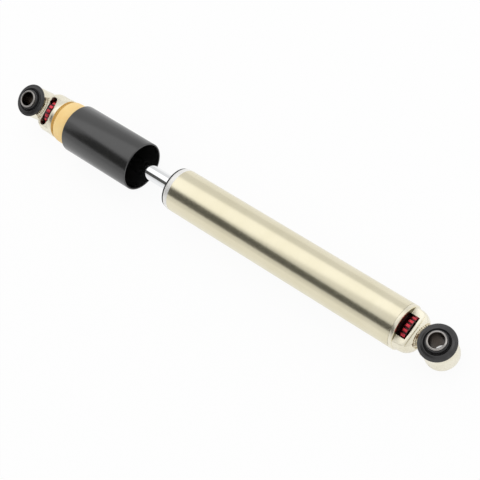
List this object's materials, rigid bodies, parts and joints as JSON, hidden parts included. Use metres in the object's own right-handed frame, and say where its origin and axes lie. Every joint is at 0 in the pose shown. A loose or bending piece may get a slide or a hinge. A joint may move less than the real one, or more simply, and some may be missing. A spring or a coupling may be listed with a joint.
{
  "type": "adjustable twin tube damper",
  "caption": "Rear damper with an eye and rubber bush at each end, gold body tube, black dust tube, bump stop and a red click adjuster wheel at each end.",
  "frame": {"origin": "centre of the lower eye's bore", "axes": "+X along the damper to the upper eye, +Z along the lower eye's bore axis, out of the side that has the adjuster window"},
  "size_m": [0.5558, 0.0516, 0.0516],
  "materials": {
    "gold_tube": "yellow passivated steel, finely brushed round the tube",
    "gold_housing": "yellow passivated steel, satin",
    "weld_bead": "yellow passivated weld bead",
    "bush_rubber": "moulded black rubber, satin",
    "sleeve_steel": "zinc plated steel",
    "cap_steel": "bright machined steel",
    "rod_chrome": "hard chrome, ground and polished",
    "red_wheel": "red anodised aluminium",
    "dust_black": "matt black",
    "stop_foam": "cream microcellular polyurethane",
    "inner_steel": "plain steel",
    "sintered_iron": "sintered iron",
    "inner_aluminium": "plain aluminium",
    "plate_black": "black glass filled polymer",
    "slide_bronze": "bronze lined with a low friction polymer",
    "slide_polymer": "filled low friction polymer",
    "seal_rubber": "nitrile rubber"
  },
  "bodies": {
    "damper_body": {"lower_eye_ring": "gold_housing", "lower_housing": "gold_housing", "lower_weld": "weld_bead", "lower_bush": "bush_rubber", "compression_click_ball": "inner_steel", "compression_click_spring": "inner_steel", "base_carrier": "inner_aluminium", "carrier_seal": "seal_rubber", "needle_seal": "seal_rubber", "base_valve_bolt": "inner_steel", "base_valve_shims": "inner_steel", "body_tube": "gold_tube", "pressure_tube": "inner_steel", "rod_guide": "sintered_iron", "guide_bush": "slide_bronze", "rod_seal": "seal_rubber", "closing_cap": "cap_steel", "stop_plate": "plate_black", "rod_wiper": "seal_rubber"},
    "lower_sleeve": {"lower_sleeve": "sleeve_steel"},
    "compression_wheel": {"compression_wheel": "red_wheel", "compression_needle": "inner_steel"},
    "piston_band": {"piston_band": "slide_polymer"},
    "rod": {"piston_rod": "rod_chrome", "top_out_washer": "inner_steel", "top_out_bumper": "seal_rubber", "piston": "sintered_iron", "piston_nut": "inner_steel", "piston_shims": "inner_steel", "bump_stop": "stop_foam", "dust_tube": "dust_black", "upper_housing": "gold_housing", "rod_socket": "inner_steel", "rebound_click_ball": "inner_steel", "rebound_click_spring": "inner_steel", "upper_eye_ring": "gold_housing", "upper_weld": "weld_bead", "upper_bush": "bush_rubber"},
    "rebound_wheel": {"rebound_wheel": "red_wheel", "rebound_adjuster": "inner_steel"},
    "upper_sleeve": {"upper_sleeve": "sleeve_steel"}
  },
  "joints": [
    {"name": "rod_slide", "type": "slide", "parent": "damper_body", "child": "piston_band", "axis": [1, 0, 0], "range_m": [-0.125, 0], "stiffness_N_per_m": 300, "springref_m": 0.4, "deforming": ["bump_stop"]},
    {"name": "rod_turn", "type": "hinge", "parent": "piston_band", "child": "rod", "pos_m": [0.25, 0, 0], "axis": [1, 0, 0], "continuous": true},
    {"name": "lower_sleeve_twist", "type": "hinge", "parent": "damper_body", "child": "lower_sleeve", "pos_m": [0, 0, 0], "axis": [0, 0, 1], "range_deg": [-20, 20], "stiffness_Nm_per_rad": 42},
    {"name": "upper_sleeve_twist", "type": "hinge", "parent": "rod", "child": "upper_sleeve", "pos_m": [0.52, 0, 0], "axis": [0, 0.3024, 0.9532], "range_deg": [-20, 20], "stiffness_Nm_per_rad": 42},
    {"name": "compression_wheel_turn", "type": "hinge", "parent": "damper_body", "child": "compression_wheel", "pos_m": [0.029, 0, 0], "axis": [1, 0, 0], "range_deg": [0, 330]},
    {"name": "rebound_wheel_turn", "type": "hinge", "parent": "rod", "child": "rebound_wheel", "pos_m": [0.489, 0, 0], "axis": [1, 0, 0], "range_deg": [0, 330]}
  ]
}
